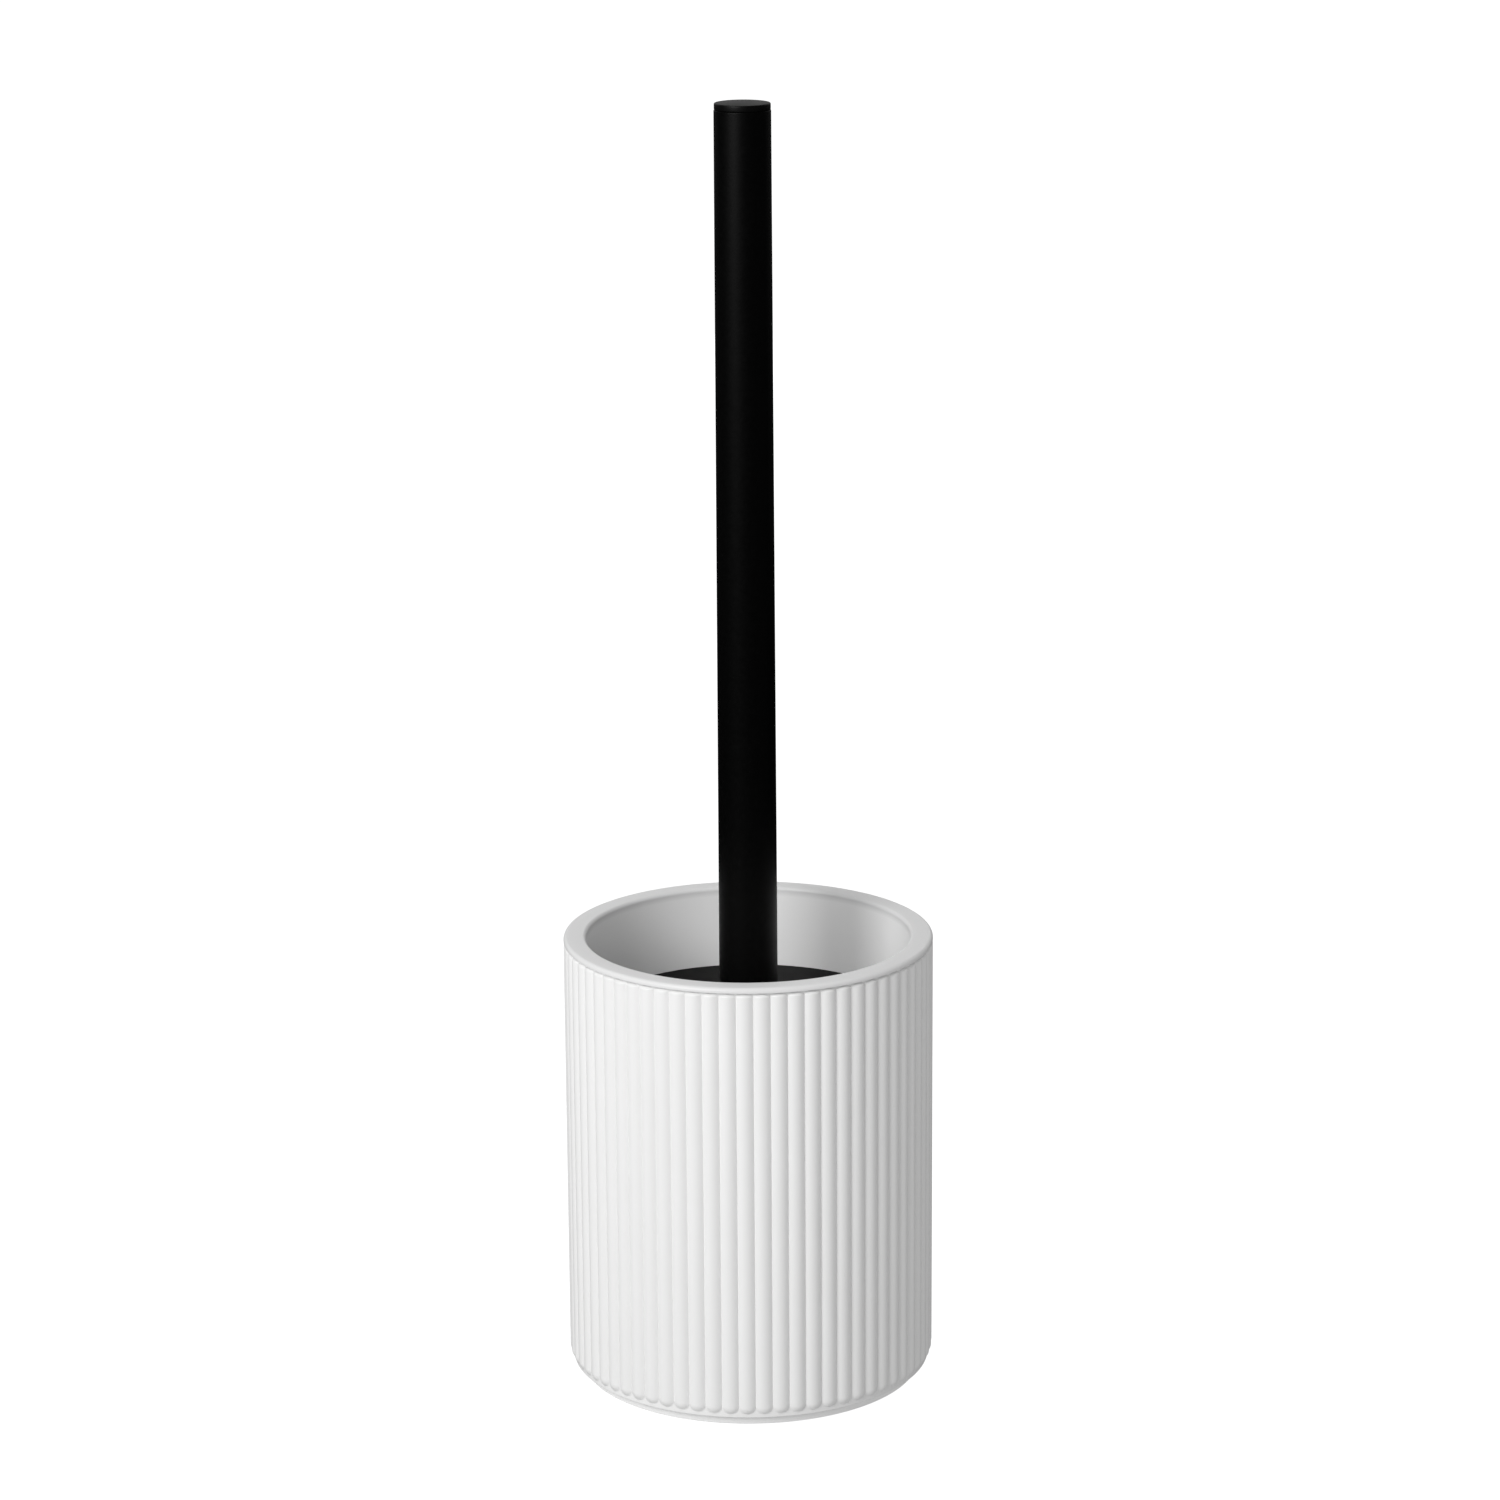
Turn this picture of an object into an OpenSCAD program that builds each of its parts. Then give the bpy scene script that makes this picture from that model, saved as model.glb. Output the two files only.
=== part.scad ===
// Toilet brush in a reeded holder.
// A reeded sleeve on a soft foot pad holds a lift-out liner, and the brush stands in the liner.
// The brush is a steel tube handle, a splash lid and a tufted head that screws into the tube.
// Millimetres, +Z up, origin at the centre of the base on the surface that the holder stands on.

/* [Holder] */
// Outside diameter over the rib crests
cup_d = 107; // [105:1:115]
// Height of the holder from the floor to the top of the lip
cup_h = 132; // [124:1:150]
// Number of ribs round the sleeve
rib_count = 68; // [40:4:76]
// How far a rib's crest stands out of the groove beside it
rib_depth = 1; // [0.6:0.1:1.4]
// Inside diameter of the liner at its mouth
bore_d = 94; // [94:0.5:96]
// Gap between the floor and the sleeve, where the soft foot shows
foot_show = 3; // [1:0.1:4]

/* [Handle] */
// Height of the whole object
total_h = 372; // [330:1:420]
// Outside diameter of the handle tube at its top
handle_d = 16; // [14:0.5:17]
// Outside diameter of the handle tube where it meets the lid
handle_foot_d = 17; // [17:0.5:19]
// Wall of the handle tube
tube_wall = 1; // [0.8:0.1:1.5]

/* [Lid] */
// Diameter of the splash lid
lid_d = 92.4; // [84:0.1:92.6]
// Depth of the lid's top face below the lip
lid_depth = 24; // [15:1:30]

/* [Brush head] */
// Diameter over the bristle tips
head_d = 80; // [70:1:84]
// Number of rows of tufts round the core
tuft_rows = 8; // [6:1:9]
// Number of tufts in a row
row_tufts = 12; // [8:4:12]

/* [Hidden] */
$fn = 96;
cut = 1; // how far a cutting solid runs past the face that it cuts

// sleeve
crest_r = cup_d / 2;
groove_r = crest_r - rib_depth;
root_step = 0.1; // how far the plain wall lies below the grooves
root_r = groove_r - root_step;
half_pitch = 180 / rib_count;
rib_axis_r = (crest_r * crest_r - groove_r * groove_r) / (2 * (crest_r - groove_r * cos(half_pitch)));
rib_r = crest_r - rib_axis_r;
rib_turn = -1.25; // turns the ribs a little about the axis
rib_bevel = 1.2; // how far a rib's rounded end runs along the rib
bevel_rise = 1.1 * rib_depth; // height of the turned envelope over the plain wall
bevel_root = 0.2; // how far the envelope reaches into that wall
lip_h = 1.6;
lip_gap = 0.3; // the shadow line under the lip
lip_edge = 0.3;
sleeve_top = cup_h - lip_h - lip_gap;
plain_band = 1.2; // plain wall below the ribs
rib_bottom = foot_show + plain_band;
rib_top = sleeve_top;
sleeve_floor = 3;
foot_recess = 0.6; // how deep the foot pad sits in the sleeve
foot_h = foot_show + foot_recess;
liner_seat = foot_h + sleeve_floor;

// liner
liner_wall = 2;
liner_floor = 2;
liner_draft = 1; // how much narrower the liner's radius is at its floor
liner_fit = 0.6; // room between liner and sleeve
lip_round = 1.3;
bore_r = bore_d / 2;
liner_r = bore_r + liner_wall;
sleeve_bore_r = liner_r + liner_fit;
liner_in_z = liner_seat + liner_floor;
floor_fillet = 4;

// foot pad
foot_r = crest_r - 3.8;
foot_ring_w = 14;
foot_fit = 0.1;
foot_edge = 0.4;

// handle
tube_r = handle_d / 2;
tube_foot_r = handle_foot_d / 2;
tube_bore_r = tube_r - tube_wall;
tube_foot_bore_r = tube_foot_r - tube_wall;
cap_inset = 0.1;
cap_r = tube_r - cap_inset;
cap_h = 1.8;
cap_dome = 0.4;
cap_edge = 0.4;
plug_l = 14;
plug_fit = 0.05; // room between a plug and the tube's bore
plug_edge = 1; // bevel at the cap plug's inner end
cap_seat = total_h - cap_dome - cap_h;

// lid
lid_t = 1.6;
lid_top = cup_h - lid_depth;
lid_bottom = lid_top - lid_t;
collar_w = 1.9;
collar_r = tube_foot_r + collar_w;
collar_h = 3;
collar_fit = 0.2;
skirt_t = 1.2;
skirt_h = 4;

// screw joint between handle and head
stud_r = 5;
stud_l = 14;
stud_fit = 0.1;
stud_edge = 1; // bevel at the stud's tip
insert_l = 20;
insert_flange_h = 1;
tube_low = lid_top + insert_flange_h;
tube_l = cap_seat - tube_low;
tube_taper = (tube_foot_r - tube_r) / tube_l; // how much narrower its radius gets per millimetre
insert_r = tube_foot_bore_r - tube_taper * insert_l - plug_fit;

// head
core_r = 11;
neck_r = 9;
neck_flange_r = 13;
neck_flange_h = 3;
tip_gap = 0.3; // between the lowest bristle tips and the liner's floor
tip_z = liner_in_z + tip_gap;
end_room = 22; // from the lowest tips up to the first row
row_pitch = 8;
row_margin = 5; // core below the first row and above the last
neck_step = 2; // height of the slope from the core to its neck
first_row_z = tip_z + end_room;
core_top = first_row_z + (tuft_rows - 1) * row_pitch + row_margin;
core_nose = 6;
core_chamfer = 1;
core_bottom = first_row_z - row_margin;
tuft_root_r = 1.5;
tuft_tip_r = 2.6;
tuft_set = 3; // how deep a tuft is set in the core
tuft_neck = 0.6; // how far it stays straight outside its hole
socket_fit = 0.05; // room round a tuft in its hole
end_tuft_l = core_bottom - core_nose - tip_z;
end_rings = [ // radius on the nose, number of tufts, lean in degrees, length
    [0, 1, 0, end_tuft_l],
    [6, 6, 14, end_tuft_l]
];

// Points of an arc about c, from angle a to angle b.
function arc(c, r, a, b, n = 12) =
    [for (i = [0:n]) c + r * [cos(a + (b - a) * i / n), sin(a + (b - a) * i / n)]];

// Outline of the ribbed shell: a ring of arcs that meet in sharp grooves.
module rib_outline() {
    circle(r = root_r);
    for (i = [0:rib_count - 1])
        rotate(rib_turn + 360 / rib_count * i)
            translate([rib_axis_r, 0])
                circle(r = rib_r);
}

// Turned envelope that rounds off both ends of every rib.
module rib_envelope() {
    rotate_extrude()
        polygon(concat(
            [[0, rib_bottom], [root_r - bevel_root, rib_bottom]],
            [for (a = [15:25:90])
                [root_r + bevel_rise * sin(a), rib_bottom + rib_bevel * (1 - cos(a))]],
            [for (a = [90:-25:15])
                [root_r + bevel_rise * sin(a), rib_top - rib_bevel * (1 - cos(a))]],
            [[root_r - bevel_root, rib_top], [0, rib_top]]
        ));
}

// Outer shell with convex ribs, a closed floor and a shallow recess underneath for the foot pad.
module ribbed_sleeve() {
    color("white")
        difference() {
            union() {
                translate([0, 0, foot_show])
                    cylinder(r = root_r, h = sleeve_top - foot_show);
                intersection() {
                    translate([0, 0, foot_show])
                        linear_extrude(sleeve_top - foot_show)
                            rib_outline();
                    rib_envelope();
                }
            }
            translate([0, 0, liner_seat])
                cylinder(r = sleeve_bore_r, h = cup_h);
            translate([0, 0, foot_show - cut])
                cylinder(r = foot_r + foot_fit, h = foot_recess + cut);
        }
}

// Soft ring under the sleeve, so that the holder doesn't slide or ring on tiles.
module foot_pad() {
    color("gainsboro")
        rotate_extrude()
            polygon([
                [foot_r - foot_ring_w, 0],
                [foot_r - foot_edge, 0],
                [foot_r, foot_edge],
                [foot_r, foot_h],
                [foot_r - foot_ring_w, foot_h]
            ]);
}

// Lift-out pot whose broad rounded lip covers the top of the sleeve.
module inner_liner() {
    color("white")
        rotate_extrude()
            polygon(concat(
                [[0, liner_seat], [liner_r - liner_draft, liner_seat]],
                [[liner_r, cup_h - lip_h], [crest_r - lip_edge, cup_h - lip_h]],
                [[crest_r, cup_h - lip_h + lip_edge]],
                arc([crest_r - lip_round, cup_h - lip_round], lip_round, 0, 90),
                arc([bore_r + lip_round, cup_h - lip_round], lip_round, 90, 180),
                arc([bore_r - liner_draft - floor_fillet, liner_in_z + floor_fillet],
                    floor_fillet, 0, -90),
                [[0, liner_in_z]]
            ));
}

// Powder-coated steel tube, drawn so that it gets slightly narrower towards its top.
module handle_tube() {
    over = cut * tube_taper;
    color([0.03, 0.03, 0.03])
        translate([0, 0, tube_low])
            difference() {
                cylinder(r1 = tube_foot_r, r2 = tube_r, h = tube_l);
                translate([0, 0, -cut])
                    cylinder(r1 = tube_foot_bore_r + over, r2 = tube_bore_r - over, h = tube_l + 2 * cut);
            }
}

// Slightly domed end cap with a plug that is pushed into the top of the tube.
module handle_cap() {
    dome_r = (cap_r * cap_r + cap_dome * cap_dome) / (2 * cap_dome);
    dome_a = asin((cap_r - cap_edge) / dome_r);
    color([0.05, 0.05, 0.05])
        rotate_extrude()
            polygon(concat(
                [[0, cap_seat - plug_l], [tube_bore_r - plug_fit - plug_edge, cap_seat - plug_l]],
                [[tube_bore_r - plug_fit, cap_seat - plug_l + plug_edge]],
                [[tube_bore_r - plug_fit, cap_seat], [cap_r, cap_seat]],
                [[cap_r, cap_seat + cap_h - cap_edge]],
                arc([0, total_h - dome_r], dome_r, 90 - dome_a, 90)
            ));
}

// Plug in the tube's lower end, with the socket that the head's stud screws into.
module thread_insert() {
    color([0.08, 0.08, 0.08])
        translate([0, 0, lid_top])
            difference() {
                union() {
                    cylinder(r = tube_foot_r, h = insert_flange_h);
                    cylinder(r = insert_r, h = insert_l);
                }
                translate([0, 0, -cut])
                    cylinder(r = stud_r + stud_fit, h = stud_l + 2 * cut);
            }
}

// Disc that covers the brush, with a locating collar above and a short stiffening skirt below.
module splash_lid() {
    lid_r = lid_d / 2;
    color([0.05, 0.05, 0.05])
        difference() {
            union() {
                translate([0, 0, lid_bottom])
                    cylinder(r = lid_r, h = lid_t);
                translate([0, 0, lid_top])
                    cylinder(r = collar_r, h = collar_h);
                translate([0, 0, lid_bottom - skirt_h])
                    cylinder(r = lid_r, h = skirt_h);
            }
            translate([0, 0, lid_bottom - skirt_h - cut])
                cylinder(r = lid_r - skirt_t, h = skirt_h + cut);
            translate([0, 0, lid_top])
                cylinder(r = tube_foot_r + collar_fit, h = collar_h + cut);
            translate([0, 0, lid_bottom - cut])
                cylinder(r = stud_r + collar_fit, h = lid_t + 2 * cut);
        }
}

// Places its children where the tufts of row i leave the core, with +Z pointing outwards.
// Every other row is turned by half a step.
module at_row(i) {
    turn = i % 2 == 0 ? 180 / row_tufts : 0;
    for (k = [0:row_tufts - 1])
        rotate(360 / row_tufts * k + turn)
            translate([core_r, 0, first_row_z + (i - 1) * row_pitch])
                rotate([0, 90, 0])
                    children();
}

// Places its children where a ring of end tufts leaves the core's nose, leaning outwards.
module at_ring(ring) {
    for (k = [0:ring[1] - 1])
        rotate(360 / ring[1] * k)
            translate([ring[0], 0, core_bottom - core_nose])
                rotate([0, 180 - ring[2], 0])
                    children();
}

// Hole for one tuft.
module socket() {
    translate([0, 0, -tuft_set - socket_fit])
        cylinder(r = tuft_root_r + socket_fit, h = tuft_set + cut);
}

// One bundle of bristles, straight in its hole and spreading outside it.
module tuft(length) {
    translate([0, 0, -tuft_set])
        cylinder(r = tuft_root_r, h = tuft_set + tuft_neck);
    translate([0, 0, tuft_neck])
        cylinder(r1 = tuft_root_r, r2 = tuft_tip_r, h = length - tuft_neck);
}

// Moulded core drilled for the tufts, with a flange that clamps the lid and a stud above it.
module brush_core() {
    color([0.06, 0.06, 0.06])
        difference() {
            rotate_extrude()
                polygon([
                    [0, core_bottom - core_nose],
                    [core_r - core_chamfer, core_bottom - core_nose],
                    [core_r, core_bottom - core_nose + core_chamfer],
                    [core_r, core_top - neck_step],
                    [neck_r, core_top],
                    [neck_r, lid_bottom - neck_flange_h],
                    [neck_flange_r, lid_bottom - neck_flange_h],
                    [neck_flange_r, lid_bottom],
                    [stud_r, lid_bottom],
                    [stud_r, lid_top + stud_l - stud_edge],
                    [stud_r - stud_edge, lid_top + stud_l],
                    [0, lid_top + stud_l]
                ]);
            for (i = [1:tuft_rows])
                at_row(i)
                    socket();
            for (ring = end_rings)
                at_ring(ring)
                    socket();
        }
}

// One row of tufts round the core.
module tuft_row(i) {
    color([0.04, 0.04, 0.04])
        at_row(i)
            tuft(head_d / 2 - core_r);
}

// Tufts that fan out of the core's nose and scrub the bottom of the bowl.
module end_tufts() {
    color([0.04, 0.04, 0.04])
        for (ring = end_rings)
            at_ring(ring)
                tuft(ring[3]);
}

ribbed_sleeve();
foot_pad();
inner_liner();
handle_tube();
handle_cap();
thread_insert();
splash_lid();
brush_core();
end_tufts();
for (i = [1:tuft_rows])
    tuft_row(i);
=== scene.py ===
# %% [markdown]
# # A toilet brush standing in a reeded holder
#
# This lesson dresses a finished design. The design already says where every part is and how it
# moves; here each part gets a finer mesh and a finish. A white reeded sleeve holds a lift-out
# liner, and a black brush with a tube handle and a splash lid stands in the liner.
#
# Everything is in metres, with +Z up and the origin under the middle of the holder.

# %% The frame
import math
import random

import bmesh
import bpy
from mathutils import Matrix, Vector


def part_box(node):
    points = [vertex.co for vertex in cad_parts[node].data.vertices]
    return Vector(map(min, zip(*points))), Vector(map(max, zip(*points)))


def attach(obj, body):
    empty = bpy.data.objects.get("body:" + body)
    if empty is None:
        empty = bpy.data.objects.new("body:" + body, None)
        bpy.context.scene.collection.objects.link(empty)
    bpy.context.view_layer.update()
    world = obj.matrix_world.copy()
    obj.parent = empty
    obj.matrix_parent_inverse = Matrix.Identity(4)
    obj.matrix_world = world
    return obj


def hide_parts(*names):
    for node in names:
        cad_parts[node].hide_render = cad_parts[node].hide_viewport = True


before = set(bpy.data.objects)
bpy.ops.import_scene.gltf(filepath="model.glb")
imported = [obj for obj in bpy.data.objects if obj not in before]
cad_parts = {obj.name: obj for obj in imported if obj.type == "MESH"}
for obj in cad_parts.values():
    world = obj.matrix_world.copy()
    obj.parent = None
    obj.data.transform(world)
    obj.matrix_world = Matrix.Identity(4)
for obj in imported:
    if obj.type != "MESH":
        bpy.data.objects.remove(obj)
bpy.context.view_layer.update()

print("nodes", sorted(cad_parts))

# %% [markdown]
# ## Measuring the frame
#
# Every size that the design can tell is read from it, so the dressed pieces stay in step with it.
# A round part's outside radius is half its box's width. What no box can tell, such as a wall
# thickness, is a named value in millimetres, next to the piece that needs it.

# %% Sizes that the frame gives
MM = 0.001


def top_of(node):
    """Height of a node's top, in millimetres."""
    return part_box(node)[1].z / MM


def foot_of(node):
    """Height of a node's underside, in millimetres."""
    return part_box(node)[0].z / MM


def radius_of(node):
    """Outside radius of a round node, in millimetres."""
    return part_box(node)[1].x / MM


CUP_TOP = top_of("inner_liner")
CREST_R = radius_of("ribbed_sleeve")
TUBE_R = radius_of("handle_tube")
CAP_R = radius_of("handle_cap")
LID_R = radius_of("splash_lid")
print(f"cup {2 * CREST_R:.1f} x {CUP_TOP:.1f} mm, tube {2 * TUBE_R:.1f} mm, lid {2 * LID_R:.1f} mm")

# %% [markdown]
# ## The camera
#
# The camera stands a metre and a quarter away and half a metre above the floor, which is high
# enough to look down over the lip to the splash lid. A wide lens close by would make the cup taper
# towards its foot. The long lens keeps its sides almost parallel. The view leans by a fraction of a
# degree, as a camera does that was set by hand.

# %% Camera
LENS = 109.2
SENSOR = 36.0
CAMERA_BACK = 1.2613
CAMERA_HEIGHT = 0.5185
CAMERA_RIGHT = 0.0009
LOOK_DOWN = 14.74
LEAN = 0.4

camera = bpy.data.objects.new("camera", bpy.data.cameras.new("camera"))
bpy.context.scene.collection.objects.link(camera)
camera.data.lens = LENS
camera.data.sensor_width = SENSOR
look = Matrix.Rotation(math.radians(90 - LOOK_DOWN), 4, "X")
lean = Matrix.Rotation(math.radians(-LEAN), 4, "Z")
camera.matrix_world = Matrix.Translation((CAMERA_RIGHT, -CAMERA_BACK, CAMERA_HEIGHT)) @ look @ lean
bpy.context.scene.camera = camera
print("camera looks down by", LOOK_DOWN, "degrees")

# %% [markdown]
# ## Shader maths
#
# A procedural finish is a small program made of nodes. Linking dozens of Math nodes by hand hides
# the idea, so the class Signal wraps a socket and lets Python's operators add the nodes:
# `1 - mask` or `noise * 0.1 + 0.4` reads as it would on paper.


# %% Signal
class Signal:
    """A number that varies over a surface; arithmetic on it adds Math nodes."""

    def __init__(self, tree, socket):
        self.tree = tree
        self.socket = socket

    def _math(self, operation, first, second):
        made = self.tree.node("ShaderNodeMath", {"operation": operation}, {0: first, 1: second})
        return Signal(self.tree, made.outputs[0])

    def __add__(self, other):
        return self._math("ADD", self, other)

    def __radd__(self, other):
        return self._math("ADD", other, self)

    def __sub__(self, other):
        return self._math("SUBTRACT", self, other)

    def __rsub__(self, other):
        return self._math("SUBTRACT", other, self)

    def __mul__(self, other):
        return self._math("MULTIPLY", self, other)

    def __rmul__(self, other):
        return self._math("MULTIPLY", other, self)

    def __pow__(self, other):
        return self._math("POWER", self, other)


def grey(level):
    """A colour that is the same in red, green and blue."""
    return (level, level, level)


print("a middle grey is", grey(0.5))

# %% [markdown]
# A material and a room's background are both trees of nodes, so the class Tree serves both. Its
# method `node` adds any node: the type first, then the node's settings, then the values or links of
# its sockets. Colours don't go through Signal, because a Math node would turn them grey: `blend`
# mixes two of them by a number that may vary.


# %% Tree
class Tree:
    """A shader tree that is built up node by node, and its last shader."""

    def __init__(self, owner, shader):
        owner.use_nodes = True
        self.network = owner.node_tree
        self.shader = self.network.nodes[shader]

    def node(self, kind, settings=None, sockets=None):
        """Adds a node: its type, then its settings, then the values or links of its sockets."""
        made = self.network.nodes.new(kind)
        for name, value in (settings or {}).items():
            setattr(made, name, value)
        self.feed(made, sockets or {})
        return made

    def feed(self, made, sockets):
        """Sets or links a node's sockets."""
        for key, value in sockets.items():
            socket = made.inputs[key]
            if isinstance(value, Signal):
                value = value.socket
            if isinstance(value, bpy.types.NodeSocket):
                self.network.links.new(value, socket)
            else:
                socket.default_value = value

    def blend(self, amount, first, second):
        """A colour between two colours, each of them three numbers or a socket."""
        mix = self.node("ShaderNodeMix", {"data_type": "RGBA"}, {"Factor": amount})
        first, second = [c if isinstance(c, bpy.types.NodeSocket) else (*c, 1.0) for c in (first, second)]
        self.feed(mix, {6: first, 7: second})
        return mix.outputs[2]

    def ramp(self, place, axis, start, end):
        """0 where that coordinate of a place is under start, 1 where it is over end."""
        along = self.node("ShaderNodeSeparateXYZ", None, {"Vector": place}).outputs[axis]
        limits = {"Value": along, "From Min": start, "From Max": end}
        return Signal(self, self.node("ShaderNodeMapRange", {"clamp": True}, limits).outputs["Result"])

    def on_ray(self, kind):
        """1 for one kind of ray and 0 for the others, such as Is Camera Ray."""
        return self.node("ShaderNodeLightPath").outputs[kind]

    def surface(self, **sockets):
        """Feeds the shader's sockets."""
        self.feed(self.shader, {k.replace("_", " "): v for k, v in sockets.items()})


print("node trees ready")

# %% [markdown]
# A Finish is the tree of one material. What is the same all over a surface, such as its specular
# level, is set on the shader at once. Noise is worked out from the place on the object, so that it
# stays put when the object moves.


# %% Finish
class Finish(Tree):
    """One material, built round a Principled shader."""

    def __init__(self, name, **constants):
        self.material = bpy.data.materials.new(name)
        super().__init__(self.material, "Principled BSDF")
        self.place = self.node("ShaderNodeTexCoord").outputs["Object"]
        for socket, value in constants.items():
            self.shader.inputs[socket.replace("_", " ")].default_value = value

    def noise(self, cells_per_metre, detail):
        """Noise from 0 to 1 with that many cells to a metre."""
        sockets = {"Vector": self.place, "Scale": cells_per_metre, "Detail": detail}
        return Signal(self, self.node("ShaderNodeTexNoise", None, sockets).outputs["Fac"])

    def relief(self, height, depth_mm, strength):
        """Surface relief: height 0 to 1 stands for that many millimetres, at that strength."""
        sockets = {"Height": height, "Distance": depth_mm * MM, "Strength": strength}
        return self.node("ShaderNodeBump", None, sockets).outputs["Normal"]

    def surface(self, **sockets):
        """Feeds the shader's sockets and returns the material."""
        super().surface(**sockets)
        return self.material


print("finishes can vary with noise and relief")

# %% [markdown]
# ## White satin resin
#
# The sleeve and the liner are moulded in white resin with a satin skin. It could be one flat
# white, but a real moulding is faintly cloudy, its gloss wanders a little, and its skin carries a
# very fine grain. Three noises at three scales give those: clouds of about a centimetre in the
# colour, smaller ones in the roughness, and grain of a third of a millimetre as relief.

# %% White resin
CLOUDS = 90
GLOSS_PATCHES = 420
GRAIN = 3200
GRAIN_MM = 0.012
GLOSS_SPREAD = 0.10


def white_resin(name, white, warm, roughness, lip_shade=None):
    """A satin white moulding whose roughness varies round that value.

    The band is painted shade, darker towards the top: the heights in millimetres where it starts and is
    full, and its colour.
    """
    finish = Finish(name, Specular_IOR_Level=0.4)
    clouds = finish.noise(CLOUDS, detail=4)
    patches = finish.noise(GLOSS_PATCHES, detail=3)
    grain = finish.noise(GRAIN, detail=2)
    colour = finish.blend(clouds, white, warm)
    # Painted shade: the colour turns to a darker grey towards the top of the band.
    if lip_shade:
        start, end, shade_grey = lip_shade
        colour = finish.blend(finish.ramp(finish.place, "Z", start * MM, end * MM), colour, shade_grey)
    return finish.surface(
        Base_Color=colour,
        Roughness=patches * GLOSS_SPREAD + (roughness - GLOSS_SPREAD / 2),
        Normal=finish.relief(grain, GRAIN_MM, strength=0.6),
    )


sleeve_white = white_resin("satin_white_sleeve", grey(0.85), (0.83, 0.83, 0.825), 0.42)
print("sleeve finish", sleeve_white.name)

# %% [markdown]
# The liner is a glossier resin. Its white, whiter than the sleeve's, is painted light that brightens
# the inside of the pot. Its lip is painted shade: a duller white, because its flat top gets less light
# than the walls. A separate material for the lip would end in a hard line, so the colour goes over to
# the painted shade with height, just below the top.

# %% Liner resin
# Painted shade over the lip, grey from these heights below the top; the liner's whiter white is painted
# light.
LIP_SHADE_START = 2.8
LIP_SHADE_FULL = 1.2
liner_painted_light_and_shade = white_resin("satin_white_liner_painted_light_and_shade", grey(0.95), (0.93, 0.93, 0.925), 0.36,
                          lip_shade=(CUP_TOP - LIP_SHADE_START, CUP_TOP - LIP_SHADE_FULL, grey(0.76)))
print("liner finish", liner_painted_light_and_shade.name)

# %% [markdown]
# ## Pale foot rubber
#
# The foot is a soft pad. Rubber has no gloss to speak of, takes a fine pitted skin from its mould
# and picks up dust, which shows as slightly darker specks.

# %% Foot rubber
SPECKS = 2600
SPECK_SPREAD = 0.12
RUBBER_LEAST = 0.70
PITS = 1500
PIT_MM = 0.05


def foot_rubber():
    """A dull pale rubber; the power leaves only the strongest specks to be seen."""
    finish = Finish("pale_foot_rubber", Specular_IOR_Level=0.25)
    specks = finish.noise(SPECKS, detail=5)
    pits = finish.noise(PITS, detail=3)
    colour = finish.blend(specks ** 3.0, grey(0.95), (0.85, 0.85, 0.84))
    return finish.surface(
        Base_Color=colour,
        Roughness=specks * SPECK_SPREAD + RUBBER_LEAST,
        Normal=finish.relief(pits, PIT_MM, strength=0.8),
    )


rubber = foot_rubber()
print("foot finish", rubber.name)

# %% [markdown]
# ## Black powder coat
#
# The tube is steel under a fine-textured powder coat. Powder melts into tiny pebbles of about
# half a millimetre, which break a highlight into a soft vertical band. A voronoi pattern gives
# pebbles with valleys between them, and a slower noise stands for the coat's orange peel.

# %% Powder coat
PEBBLES = 1900
PEEL = 260
COAT_MM = 0.03
WEAR = 700
WEAR_SPREAD = 0.14
COAT_LEAST = 0.36


def powder_coat():
    """Black powder coat; its relief is seven parts pebbles to three parts orange peel."""
    finish = Finish("powder_coated_steel", Specular_IOR_Level=0.12)
    pebble = finish.node(
        "ShaderNodeTexVoronoi",
        {"feature": "SMOOTH_F1"},
        {"Vector": finish.place, "Scale": PEBBLES, "Smoothness": 0.6, "Randomness": 1.0},
    )
    pebbles = 1 - Signal(finish, pebble.outputs["Distance"])
    peel = finish.noise(PEEL, detail=2)
    wear = finish.noise(WEAR, detail=6)
    colour = finish.blend(wear, grey(0.0004), grey(0.0012))
    return finish.surface(
        Base_Color=colour,
        Roughness=wear * WEAR_SPREAD + COAT_LEAST,
        Normal=finish.relief(pebbles * 0.7 + peel * 0.3, COAT_MM, strength=0.5),
    )


coat_black = powder_coat()
print("tube finish", coat_black.name)

# %% [markdown]
# ## Black moulded plastic
#
# The cap, the lid and the head's core are moulded in black plastic. The mould was spark-eroded,
# so the skin has a fine sandy grain, and handling has polished it unevenly. One function makes
# the family, since only the darkness and the gloss differ from part to part.

# %% Black plastic
SAND = 2400
SAND_MM = 0.02
RUBBED = 150
RUBBED_SPREAD = 0.14


def black_plastic(name, dark, light, specular, roughness):
    """Black plastic between two greys, whose roughness varies round that value."""
    finish = Finish(name, Specular_IOR_Level=specular)
    sand = finish.noise(SAND, detail=4)
    rubbed = finish.noise(RUBBED, detail=5)
    return finish.surface(
        Base_Color=finish.blend(rubbed, grey(dark), grey(light)),
        Roughness=rubbed * RUBBED_SPREAD + (roughness - RUBBED_SPREAD / 2),
        Normal=finish.relief(sand, SAND_MM, strength=0.5),
    )


cap_black = black_plastic("black_cap_plastic", 0.001, 0.002, specular=0.25, roughness=0.42)
lid_black = black_plastic("black_lid_plastic", 0.004, 0.006, specular=0.03, roughness=0.52)
core_black = black_plastic("black_core_plastic", 0.006, 0.010, specular=0.4, roughness=0.40)
print("plastics", cap_black.name, lid_black.name, core_black.name)

# %% [markdown]
# ## Black nylon bristle
#
# Drawn nylon is smooth along the strand, so each strand carries a thin sharp highlight. No two
# strands reflect quite alike: Random Per Island gives each strand its own shade and gloss without
# a material for each.

# %% Nylon
DRAWN = 300
DRAWN_SPREAD = 0.08
STRAND_SPREAD = 0.16
NYLON_LEAST = 0.22


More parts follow.
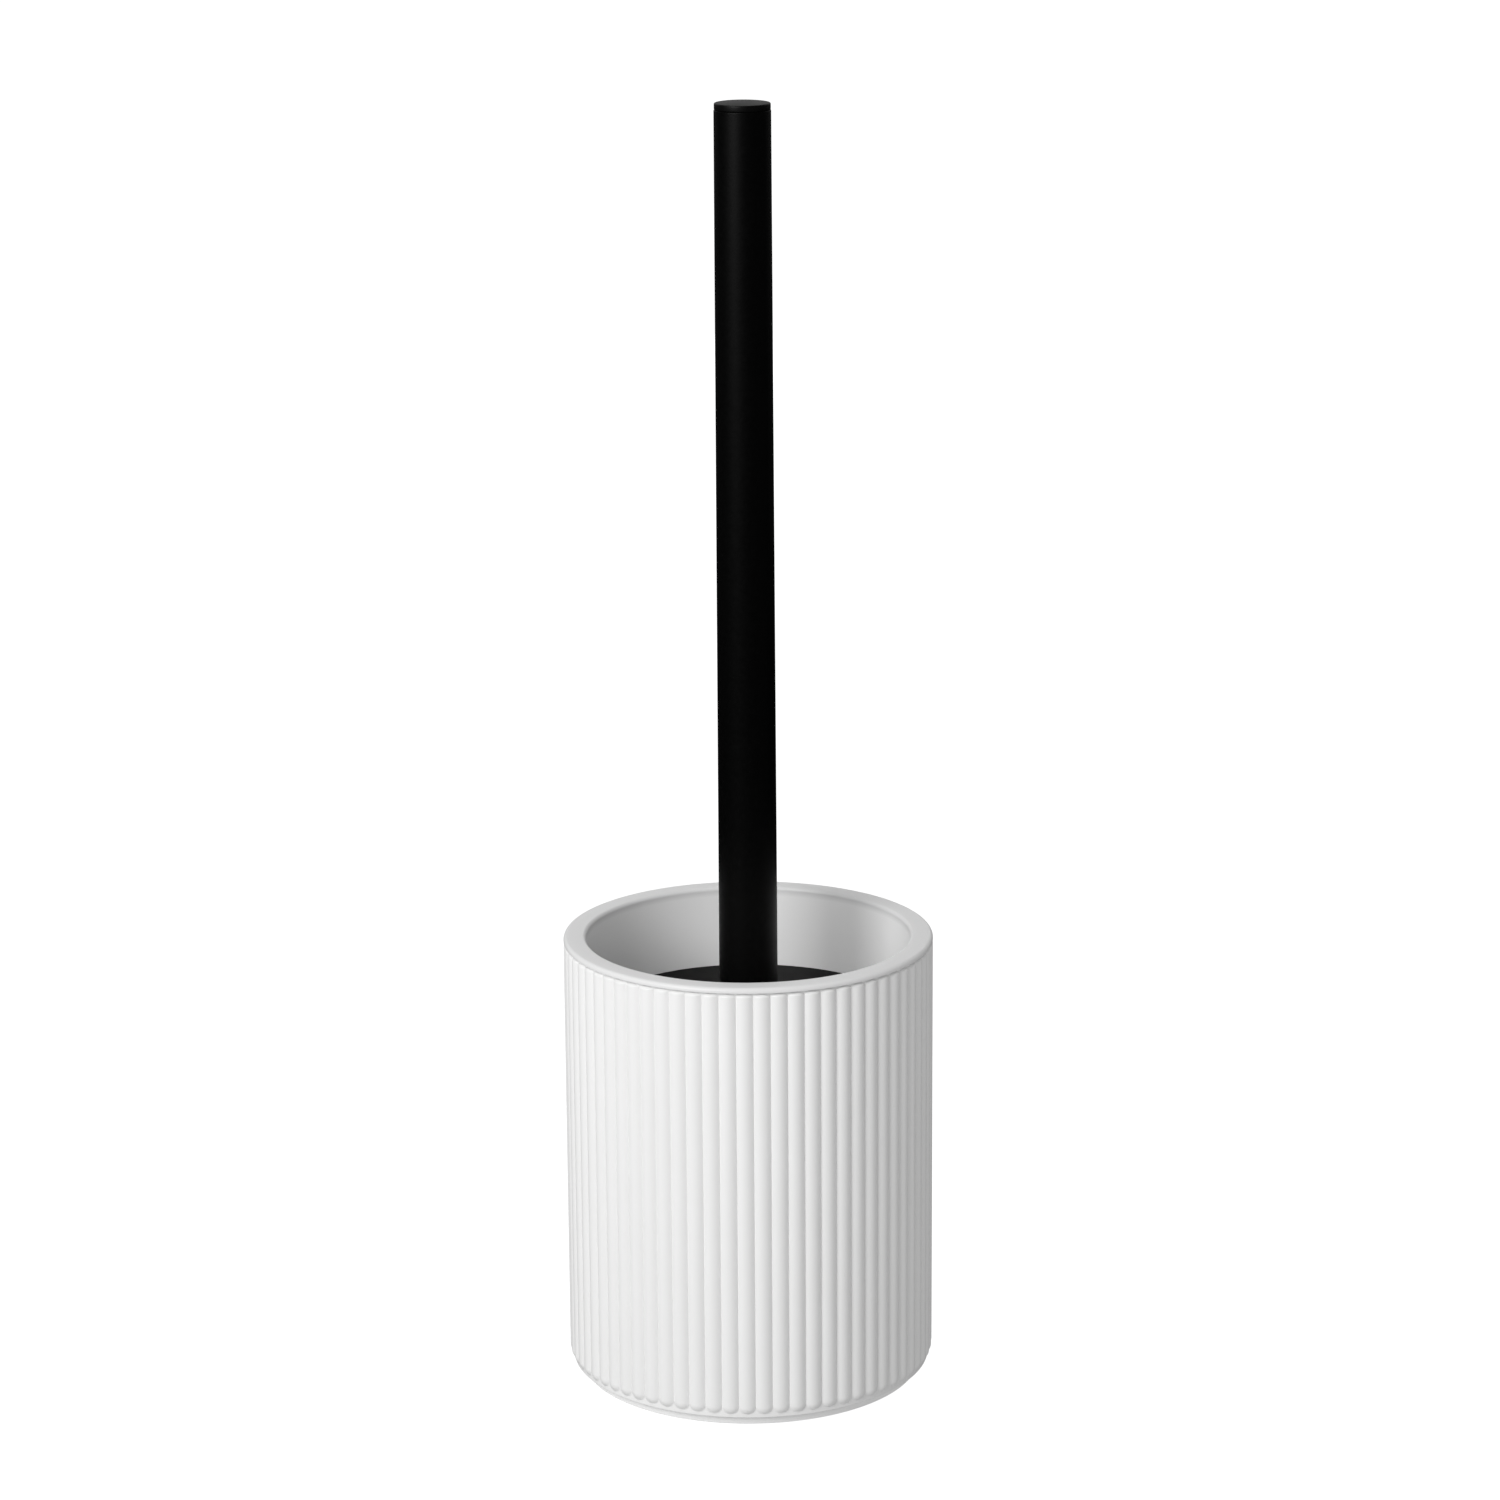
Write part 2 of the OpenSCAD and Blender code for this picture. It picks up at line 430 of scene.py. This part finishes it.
def nylon():
    """Black nylon; each strand has its own shade, and its gloss wanders along it."""
    finish = Finish("black_nylon_bristle", Specular_IOR_Level=0.5)
    strand = Signal(finish, finish.node("ShaderNodeNewGeometry").outputs["Random Per Island"])
    lengthwise = finish.noise(DRAWN, detail=2)
    colour = finish.blend(strand, (0.008, 0.008, 0.009), (0.028, 0.028, 0.030))
    return finish.surface(
        Base_Color=colour,
        Roughness=strand * STRAND_SPREAD + lengthwise * DRAWN_SPREAD + NYLON_LEAST,
    )


bristle_black = nylon()
print("bristle finish", bristle_black.name)

# %% [markdown]
# ## Turned shapes
#
# Most of these parts are round, so they are made as on a lathe: an outline is drawn in the plane
# of radius and height and spun round the axis. A real edge is never perfectly sharp, and it is the
# rounded edge that catches the light. So an outline here is a list of corners, each with its own
# rounding in millimetres, and `rounded` turns the corners that have one into arcs before the spin.

# %% Rounding an outline
ARC_STEPS = 6


def rounded(corners, steps=ARC_STEPS):
    """The points of a closed outline whose corners are (r, z, rounding), in millimetres.

    A corner with no rounding stays one point. The others become arcs of that many steps.
    """
    points = []
    for i, (r, z, rounding) in enumerate(corners):
        here = Vector((r, z))
        if rounding == 0:
            points.append(here)
            continue
        to_last = (Vector(corners[i - 1][:2]) - here).normalized()
        to_next = (Vector(corners[(i + 1) % len(corners)][:2]) - here).normalized()
        half = to_last.angle(to_next) / 2
        centre = here + (to_last + to_next).normalized() * (rounding / math.sin(half))
        start = here + to_last * (rounding / math.tan(half)) - centre
        end = here + to_next * (rounding / math.tan(half)) - centre
        turn = start.angle_signed(end)
        for step in range(steps + 1):
            a = -turn * step / steps
            x = start.x * math.cos(a) - start.y * math.sin(a)
            y = start.x * math.sin(a) + start.y * math.cos(a)
            points.append(centre + Vector((x, y)))
    return points


sample = rounded([(0, 0, 0), (10, 0, 2), (10, 10, 0)])
print("a rounded corner takes", len(sample) - 2, "points")

# %% [markdown]
# Every dressed piece is made in the same way, whatever its shape: a function fills an empty mesh,
# and the piece gets its finish, the body that it moves with and the part of the design that it
# stands for. Shading is smooth except where two faces meet at more than 35 degrees.

# %% Making a piece
SHARP = math.radians(35)


def make_piece(name, body, material, replaced, mesh_maker):
    """Makes a piece from a function that fills a bmesh, and tells the frame about it."""
    grid = bmesh.new()
    mesh_maker(grid)
    bmesh.ops.recalc_face_normals(grid, faces=grid.faces)
    mesh = bpy.data.meshes.new(name)
    grid.to_mesh(mesh)
    grid.free()
    mesh.shade_smooth()
    mesh.set_sharp_from_angle(angle=SHARP)
    mesh.materials.append(material)
    piece = bpy.data.objects.new(name, mesh)
    bpy.context.scene.collection.objects.link(piece)
    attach(piece, body)
    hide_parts(*replaced)
    print(f"{name}: {len(mesh.vertices)} vertices on {body}, stands for {', '.join(replaced)}")


print("pieces turn sharp above", round(math.degrees(SHARP)), "degrees")

# %% [markdown]
# Spinning an outline turns each of its points into a ring of vertices and joins each ring to the
# next by faces. A point on the axis would give a ring of zero size, so it stays one vertex and its
# faces are triangles. A ring may also have a radius of its own at each angle, which the ribs need.

# %% Spinning an outline
AXIS = 1e-6


def ring_at(grid, angles, radii, z):
    """One vertex at each angle and radius; a ring on the axis is one vertex, used again and again."""
    if max(radii) < AXIS:
        return [grid.verts.new((0, 0, z * MM))] * len(angles)
    return [grid.verts.new((r * MM * math.cos(a), r * MM * math.sin(a), z * MM))
            for a, r in zip(angles, radii)]


def join_rings(grid, rings):
    """Faces from each ring to the next, and from the last one back to the first."""
    sides = len(rings[0])
    for low, high in zip([rings[-1]] + rings[:-1], rings):
        if low[0] is low[1] and high[0] is high[1]:
            continue
        for k in range(sides):
            n = (k + 1) % sides
            grid.faces.new(dict.fromkeys((low[k], low[n], high[n], high[k])))


def spin(grid, outline, sides):
    """Spins a closed outline of (r, z) points, in millimetres, round the Z axis."""
    angles = [2 * math.pi * k / sides for k in range(sides)]
    join_rings(grid, [ring_at(grid, angles, [r] * sides, z) for r, z in outline])


print("lathe ready; a radius under", AXIS, "mm counts as the axis")

# %% [markdown]
# ## The foot pad
#
# A ring of soft rubber sits in a shallow recess under the sleeve. It stops the holder from
# sliding and from ringing on tiles. Its outer edge is softly rounded, and three fine grooves
# underneath give it grip.

# %% Foot pad
PAD_RING = 14.0
GROOVES = 3
GROOVE_W = 1.2
GROOVE_H = 0.5
GROOVE_SLOPE = 0.2
PAD_R = radius_of("foot_pad")
PAD_H = top_of("foot_pad")


def pad_outline():
    """A flat ring with grooves in its underside."""
    inner = PAD_R - PAD_RING
    corners = [(inner, PAD_H, 0.1), (inner, 0, 0.4)]
    for k in range(GROOVES):
        r = inner + PAD_RING * (k + 1) / (GROOVES + 1) - GROOVE_W / 2
        corners += [(r, 0, 0.15), (r + GROOVE_SLOPE, GROOVE_H, 0.1)]
        corners += [(r + GROOVE_W - GROOVE_SLOPE, GROOVE_H, 0.1), (r + GROOVE_W, 0, 0.15)]
    return rounded(corners + [(PAD_R, 0, 0.5), (PAD_R, PAD_H, 0.1)], steps=4)


make_piece("foot_ring", "holder", rubber, ["foot_pad"],
           lambda grid: spin(grid, pad_outline(), sides=192))

# %% [markdown]
# ## The ribbed sleeve
#
# The sleeve's outside is reeded: convex ribs stand side by side and meet in fine grooves. A bump
# map could fake them, but the lip's shadow and the scalloped silhouette need real shape. So the
# wall is a grid of columns and levels, and a formula gives each vertex its radius.
#
# Across a rib the surface is an arc of a circle. At each end the rib sinks into the wall as half a
# ball would, over a couple of millimetres at the bottom and over one under the lip. The columns
# crowd towards the grooves, where the surface turns fastest.

# %% Rib shape
RIBS = 68
RIB_DEPTH = 1.0
RIB_TURN = -1.25
ROOT_STEP = 0.1
RIB_START = 1.2
END_BOTTOM = 2.4
END_TOP = 1.0
COLUMNS = 14

HALF_PITCH = math.pi / RIBS
GROOVE_R = CREST_R - RIB_DEPTH
ROOT_R = GROOVE_R - ROOT_STEP
RIB_AXIS = (CREST_R ** 2 - GROOVE_R ** 2) / (2 * (CREST_R - GROOVE_R * math.cos(HALF_PITCH)))
RIB_R = CREST_R - RIB_AXIS
SLEEVE_LOW = foot_of("ribbed_sleeve")
SLEEVE_TOP = top_of("ribbed_sleeve")


def rib_radius(offset, end):
    """Radius of the surface at an angle off the rib's middle; end is 0 on the rib, 1 at its tip."""
    across = RIB_AXIS * math.sin(offset)
    along = end * math.sqrt(RIB_R ** 2 - (ROOT_R - RIB_AXIS) ** 2)
    left = RIB_R ** 2 - across ** 2 - along ** 2
    if left <= 0:
        return ROOT_R
    return max(ROOT_R, RIB_AXIS * math.cos(offset) + math.sqrt(left))


print(f"{RIBS} ribs, {2 * math.sin(HALF_PITCH) * CREST_R:.2f} mm apart, arc radius {RIB_R:.2f} mm")

# %% [markdown]
# The levels are close together in the rounded ends and far apart on the straight stretch, where
# nothing changes. Below the ribs runs a narrow plain band, and the rest of the outline, over the
# top and down the bore to the floor and the recess for the foot, is plainly round.

# %% Sleeve mesh
SLEEVE_WALL_IN = 3.9
SLEEVE_FLOOR = 3.0
TOP_EDGE = 0.3
PAD_PLAY = 0.1
END_LEVELS = 9


def rib_levels():
    """Pairs of height and end factor, from the foot of the ribs to their tops."""
    low, high = SLEEVE_LOW + RIB_START, SLEEVE_TOP
    rise = [math.cos(math.pi / 2 * k / END_LEVELS) for k in range(END_LEVELS + 1)]
    bottom = [(low + END_BOTTOM * (1 - e), e) for e in rise]
    top = [(high - END_TOP * (1 - e), e) for e in reversed(rise)]
    return bottom + top


def sleeve_mesh(grid):
    """The ribbed outside and the round inside, ring by ring."""
    across = [HALF_PITCH * math.sin(math.pi * (k / COLUMNS - 0.5)) for k in range(COLUMNS)]
    middles = [math.radians(RIB_TURN) + 2 * HALF_PITCH * rib for rib in range(RIBS)]
    offsets = across * RIBS
    angles = [middle + offset for middle in middles for offset in across]
    bore = CREST_R - SLEEVE_WALL_IN
    floor = PAD_H + SLEEVE_FLOOR
    recess = PAD_R + PAD_PLAY
    inside = rounded([
        (ROOT_R - TOP_EDGE, SLEEVE_TOP, 0), (bore, SLEEVE_TOP, 0.4), (bore, floor, 1.5),
        (0, floor, 0), (0, PAD_H, 0),
        (recess, PAD_H, 0), (recess, SLEEVE_LOW, 0.3), (ROOT_R, SLEEVE_LOW, 0.35)])
    rings = [ring_at(grid, angles, [rib_radius(offset, end) for offset in offsets], z)
             for z, end in rib_levels()]
    rings += [ring_at(grid, angles, [r] * len(angles), z) for r, z in inside]
    join_rings(grid, rings)


make_piece("reeded_sleeve", "holder", sleeve_white, ["ribbed_sleeve"],
           sleeve_mesh)

# %% [markdown]
# ## The liner
#
# The liner is a pot that lifts out to be rinsed. Its broad lip covers the top of the sleeve, flat
# on top and rounded on both edges. The pot narrows slightly towards its floor so that it leaves
# its mould and the sleeve, and a generous radius at the floor leaves no corner for dirt.

# %% Liner
LIP_H = 1.6
BORE_R = 47.0
LINER_WALL = 2.0
LINER_DRAFT = 1.0
LINER_FLOOR = 2.0
LINER_LOW = foot_of("inner_liner")


def liner_outline():
    """Up the outside, over the lip and down the inside to the floor."""
    outer = BORE_R + LINER_WALL
    return rounded([
        (0, LINER_LOW, 0),
        (outer - LINER_DRAFT, LINER_LOW, 1.5),
        (outer, CUP_TOP - LIP_H, 0.2),
        (CREST_R, CUP_TOP - LIP_H, 0.25),
        (CREST_R, CUP_TOP, 1.15),
        (BORE_R, CUP_TOP, 1.1),
        (BORE_R - LINER_DRAFT, LINER_LOW + LINER_FLOOR, 4.0),
        (0, LINER_LOW + LINER_FLOOR, 0),
    ], steps=10)


make_piece("lift_out_liner", "liner", liner_painted_light_and_shade, ["inner_liner"],
           lambda grid: spin(grid, liner_outline(), sides=256))

# %% [markdown]
# ## The handle
#
# The handle is one tube, drawn so that it gets a millimetre narrower towards its top. Its box tells
# only the wide end, so the narrow end comes from the cap, which is set in by a tenth of a
# millimetre. Both ends are deburred, and the rounded top edge leaves a fine dark line where the cap
# sits on it.

# %% Tube
TUBE_WALL = 1.0
CAP_INSET = 0.1
TUBE_LOW = foot_of("handle_tube")
TUBE_TOP = top_of("handle_tube")
TOP_R = CAP_R + CAP_INSET
BORE = TOP_R - TUBE_WALL


def tube_outline():
    """Up the outside of the tube and down its bore."""
    return rounded([(TUBE_R, TUBE_LOW, 0.3), (TOP_R, TUBE_TOP, 0.35),
                    (BORE, TUBE_TOP, 0.2), (TUBE_R - TUBE_WALL, TUBE_LOW, 0.2)])


make_piece("handle_shaft", "brush", coat_black, ["handle_tube"],
           lambda grid: spin(grid, tube_outline(), sides=128))

# %% [markdown]
# The cap is a plug. Its flange is almost as wide as the tube and slightly domed, and its stem has
# two thin barbs that grip the bore. The dome is a parabola that starts a little inside the flange's
# rounded edge.

# %% Cap
CAP_DOME = 0.4
DOME_STEPS = 8
DOME_START = 0.94
PLUG_PLAY = 0.05
STEM_TIP = 2
TIP_INSET = 1.2
BARB = 0.4
BARB_BACK = 1
BARBS_AT = (5, 9)
CAP_TOP = top_of("handle_cap")


def cap_outline():
    """Up the barbed stem, out along the flange and over the dome."""
    stem = BORE - PLUG_PLAY
    core = stem - BARB
    low = foot_of("handle_cap")
    corners = [(0, low, 0), (stem - TIP_INSET, low, 0.3), (core, low + STEM_TIP, 0.2)]
    for barb in [low + up for up in BARBS_AT]:
        corners += [(core, barb, 0.1), (stem, barb + BARB, 0.1), (core, barb + BARB + BARB_BACK, 0.1)]
    corners += [(core, TUBE_TOP, 0.1), (CAP_R, TUBE_TOP, 0.25), (CAP_R, CAP_TOP - CAP_DOME, 0.35)]
    for k in range(DOME_STEPS):
        out = (1 - k / DOME_STEPS) * DOME_START
        corners.append((CAP_R * out, CAP_TOP - CAP_DOME * out ** 2, 0))
    return rounded(corners + [(0, CAP_TOP, 0)], steps=5)


make_piece("domed_cap", "brush", cap_black, ["handle_cap"],
           lambda grid: spin(grid, cap_outline(), sides=128))

# %% [markdown]
# ## The splash lid
#
# The lid is a thin disc that closes the liner round the handle. It has a low collar that the
# handle stands in and a short skirt that keeps it flat. Its edges are rounded by less than a
# millimetre, as a thin moulding's are.

# %% Lid
LID_TOP = foot_of("thread_insert")
LID_LOW = foot_of("splash_lid")
LID_T = 1.6
SKIRT_T = 1.2
SKIRT_NARROWS = 0.7
COLLAR_T = 1.9
COLLAR_R = TUBE_R + COLLAR_T
COLLAR_H = 3.0
COLLAR_PLAY = 0.2
STUD_HOLE = 5.2


def lid_outline():
    """From the stud's hole over the collar and out to the skirt."""
    under = LID_TOP - LID_T
    return rounded([
        (STUD_HOLE, under, 0.1), (STUD_HOLE, LID_TOP, 0.1), (TUBE_R + COLLAR_PLAY, LID_TOP, 0.1),
        (TUBE_R + COLLAR_PLAY, LID_TOP + COLLAR_H, 0.4), (COLLAR_R, LID_TOP + COLLAR_H, 0.7),
        (COLLAR_R, LID_TOP, 0.9), (LID_R, LID_TOP, 0.6), (LID_R, LID_LOW, 0.3),
        (LID_R - SKIRT_T * SKIRT_NARROWS, LID_LOW, 0.3), (LID_R - SKIRT_T, under, 0.6)])


make_piece("splash_disc", "brush", lid_black, ["splash_lid"],
           lambda grid: spin(grid, lid_outline(), sides=224))

# %% [markdown]
# ## The head's hard parts
#
# The plug in the tube's foot and the moulded core are already exact in the design, down to the
# holes for the tufts, so they are kept as they are and only take a finish.

# %% Core and plug
for node in ("brush_core", "thread_insert"):
    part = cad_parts[node]
    part.data.materials.clear()
    part.data.materials.append(core_black)
    print(node, "keeps its shape and takes", core_black.name)

# %% [markdown]
# ## The bristles
#
# A tuft is a bundle of nylon strands, folded in the middle and stapled into a hole. Particle hair
# would be quick, but it isn't a mesh, so each strand is a slim tapering prism. The strands leave
# the hole packed like straws in a cup and spread outwards. Each bends a little in its own way,
# and the tips are trimmed to an even drum.
#
# The random numbers come from one seeded generator, so the head is the same on every run.

# %% One strand
STRAND_R = 0.17
STRAND_TAPER = 0.25
STRAND_SIDES = 5
STRAND_RINGS = 5


def strand(grid, root, tip, bow):
    """A slim prism along a line from root to tip that bends towards bow, all in millimetres."""
    along = (tip - root).normalized()
    side = along.orthogonal().normalized()
    other = along.cross(side)
    rings = []
    for k in range(STRAND_RINGS):
        t = k / (STRAND_RINGS - 1)
        middle = root.lerp(tip, t) + bow * (t * t * (1 - t) * 4)
        radius = STRAND_R * (1 - STRAND_TAPER * t)
        ring = []
        for j in range(STRAND_SIDES):
            a = 2 * math.pi * j / STRAND_SIDES
            point = middle + (side * math.cos(a) + other * math.sin(a)) * radius
            ring.append(grid.verts.new(point * MM))
        rings.append(ring)
    for low, high in zip(rings, rings[1:]):
        for j in range(STRAND_SIDES):
            n = (j + 1) % STRAND_SIDES
            grid.faces.new((low[j], low[n], high[n], high[j]))
    grid.faces.new(rings[0][::-1])
    grid.faces.new(rings[-1])


print("a strand has", STRAND_SIDES * STRAND_RINGS, "vertices")

# %% [markdown]
# The strands of a tuft start on a sunflower pattern, which packs a disc evenly. The same pattern,
# spread wider, gives the tips. Each tip strays to either side, by up to half a millimetre in each of
# two directions. Each strand is cut up to 1.5 percent short, and each bows sideways a little.

# %% One tuft
STRANDS = 46
GOLDEN = math.pi * (3 - math.sqrt(5))
HOLE_R = 1.25
SET_DEPTH = 2.5
STRAY = 0.5
SHORTEST = 0.985
BOW = 0.7
dice = random.Random(11)


def tuft(grid, foot, out, length, spread):
    """A bundle of strands that leaves foot along out and spreads to the radius spread."""
    side = out.orthogonal().normalized()
    other = out.cross(side)
    for k in range(STRANDS):
        share = math.sqrt((k + 0.5) / STRANDS)
        a = GOLDEN * k
        aim = side * math.cos(a) + other * math.sin(a)
        stray = side * dice.uniform(-STRAY, STRAY) + other * dice.uniform(-STRAY, STRAY)
        root = foot - out * SET_DEPTH + aim * (share * HOLE_R)
        tip = foot + out * (length * dice.uniform(SHORTEST, 1.0)) + aim * (share * spread) + stray
        bow = side * dice.uniform(-BOW, BOW) + other * dice.uniform(-BOW, BOW)
        strand(grid, root, tip, bow)


print(STRANDS, "strands to a tuft")

# %% [markdown]
# The design's tufts say where each bundle goes. Their rows are evenly spaced, every other row is
# turned by half a step, and the heights come from each row's box.

# %% Rows round the core
ROW_TUFTS = 12
CORE_R = 11.0
ROW_SPREAD = 4.0
ROWS = sorted(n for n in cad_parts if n.startswith("tuft_row_"))
DRUM_R = max(radius_of(row) for row in ROWS)


def row_mesh(grid, row, turned):
    """The tufts of one row, turned by half a step or not."""
    z = (top_of(row) + foot_of(row)) / 2
    for k in range(ROW_TUFTS):
        a = 2 * math.pi * (k + (0.5 if turned else 0)) / ROW_TUFTS
        out = Vector((math.cos(a), math.sin(a), 0))
        foot = out * CORE_R + Vector((0, 0, z))
        tuft(grid, foot, out, DRUM_R - CORE_R, ROW_SPREAD)


for index, row in enumerate(ROWS):
    make_piece(f"bristle_row_{index + 1}", "brush", bristle_black, [row],
               lambda grid: row_mesh(grid, row, index % 2 == 1))

# %% [markdown]
# The end tufts fan out of the core's nose: one straight down and a ring that leans outwards.

# %% End tufts
END_LEAN = 14.0
END_RING_R = 6.0
END_RING = 6
NOSE_Z = foot_of("brush_core")
TIP_Z = foot_of("end_tufts")
END_SPREAD = 3.2
MIDDLE_SHARE = 0.8
RING_SHARE = 0.99


def end_mesh(grid):
    """The middle tuft, which spreads less, and the ring of leaning ones, which are a little shorter."""
    length = NOSE_Z - TIP_Z
    tuft(grid, Vector((0, 0, NOSE_Z)), Vector((0, 0, -1)), length, END_SPREAD * MIDDLE_SHARE)
    lean = math.radians(END_LEAN)
    for k in range(END_RING):
        a = 2 * math.pi * k / END_RING
        out = Vector((math.cos(a), math.sin(a), 0))
        foot = out * END_RING_R + Vector((0, 0, NOSE_Z))
        along = out * math.sin(lean) - Vector((0, 0, math.cos(lean)))
        tuft(grid, foot, along, length * RING_SHARE, END_SPREAD)


make_piece("bristle_end", "brush", bristle_black, ["end_tufts"], end_mesh)

# %% [markdown]
# ## The floor
#
# The set stands on a plain white floor that runs out of view. A white floor under a lamp would
# show a grey shadow, so this one glows, as a studio table lit from below does. It glows more
# towards the eye than towards the set, so that it is pure white and still lights the ribs no more
# than a white table would. Gloss doesn't see it at all, because the black handle would mirror it
# and turn grey. It lies a tenth of a millimetre low, clear of the foot.

# %% Floor
FLOOR_SEEN = 1.0
FLOOR_SENT = 0.46
FLOOR_DROP = 0.1 * MM
FLOOR_REACH = 12.0
MOTTLE = 3

floor_finish = Finish("white_floor", Specular_IOR_Level=0.0, Roughness=1.0, Emission_Strength=1.0)
mottle = floor_finish.blend(floor_finish.noise(MOTTLE, detail=2), grey(0.13), grey(0.12))
glow = floor_finish.blend(floor_finish.on_ray("Is Camera Ray"), grey(FLOOR_SENT), grey(FLOOR_SEEN))
mirrored = floor_finish.on_ray("Is Glossy Ray")
floor_finish.surface(
    Base_Color=floor_finish.blend(mirrored, mottle, grey(0.0)),
    Emission_Color=floor_finish.blend(mirrored, glow, grey(0.0)),
)

floor_mesh = bpy.data.meshes.new("floor")
floor_grid = bmesh.new()
bmesh.ops.create_grid(floor_grid, x_segments=4, y_segments=4, size=FLOOR_REACH)
floor_grid.to_mesh(floor_mesh)
floor_grid.free()
floor_mesh.materials.append(floor_finish.material)
floor = bpy.data.objects.new("floor", floor_mesh)
floor.location.z = -FLOOR_DROP
bpy.context.scene.collection.objects.link(floor)
print("floor reaches", FLOOR_REACH, "m each way and takes", floor_finish.material.name)

# %% [markdown]
# ## The lights
#
# The key is a soft light to the front left, about a metre across and nearly two metres away. A
# much wider one would cast no shadow of the handle inside the liner and leave the ribs flat, and a
# bare bulb's shadows would be hard. This size keeps the shadow soft and gives each rib a bright
# side and a dark side. A second, weaker light stands low behind the set and brightens the edges
# that the key can't reach. Gloss doesn't see it.

# %% Lights
AIM = Vector((0, 0, 0.12))


def softbox(name, azimuth, elevation, distance, width, height, watts):
    """A soft light that faces the set; azimuth 0 is the camera's side and 90 is the right."""
    a, e = math.radians(azimuth), math.radians(elevation)
    away = Vector((math.sin(a) * math.cos(e), -math.cos(a) * math.cos(e), math.sin(e)))
    lamp = bpy.data.lights.new(name, "AREA")
    lamp.shape = "RECTANGLE"
    lamp.size = width
    lamp.size_y = height
    lamp.energy = watts
    lamp_object = bpy.data.objects.new(name, lamp)
    lamp_object.location = AIM + away * distance
    lamp_object.rotation_euler = away.to_track_quat("Z", "Y").to_euler()
    bpy.context.scene.collection.objects.link(lamp_object)
    return lamp_object


softbox("key_front_left", azimuth=-37, elevation=32, distance=1.8, width=0.9, height=1.1, watts=20.3)
fill = softbox("fill_behind", azimuth=175, elevation=8, distance=1.8, width=0.9, height=0.6, watts=9)
fill.visible_glossy = False
print("key and fill set")

# %% [markdown]
# ## The room
#
# The room's white walls fill the shadows, and the left one is brighter. What gloss sees is another
# matter: a studio is dark but for its backdrop, so glossy rays see nearly black walls and a dim
# backdrop behind the set. It lights the cap's top and leaves the rest of the handle black.

# %% Room
LEFT_LIGHT = 0.60
RIGHT_LIGHT = 0.46
DARK_ROOM = 0.02
BACKDROP = 0.42
BACKDROP_FROM = 0.3
BACKDROP_FULL = 0.9

world = bpy.data.worlds.new("white_room")
bpy.context.scene.world = world
room = Tree(world, "Background")
direction = room.node("ShaderNodeTexCoord").outputs["Generated"]
walls = room.blend(room.ramp(direction, "X", -1.0, 1.0), grey(LEFT_LIGHT), grey(RIGHT_LIGHT))
behind = room.ramp(direction, "Y", BACKDROP_FROM, BACKDROP_FULL)
reflected = room.blend(behind, grey(DARK_ROOM), grey(BACKDROP))
lit = room.blend(room.on_ray("Is Glossy Ray"), walls, reflected)
room.surface(Color=room.blend(room.on_ray("Is Camera Ray"), lit, grey(1.0)), Strength=1.0)
bpy.context.scene.view_settings.view_transform = "Standard"
print("room", world.name, "is the background")
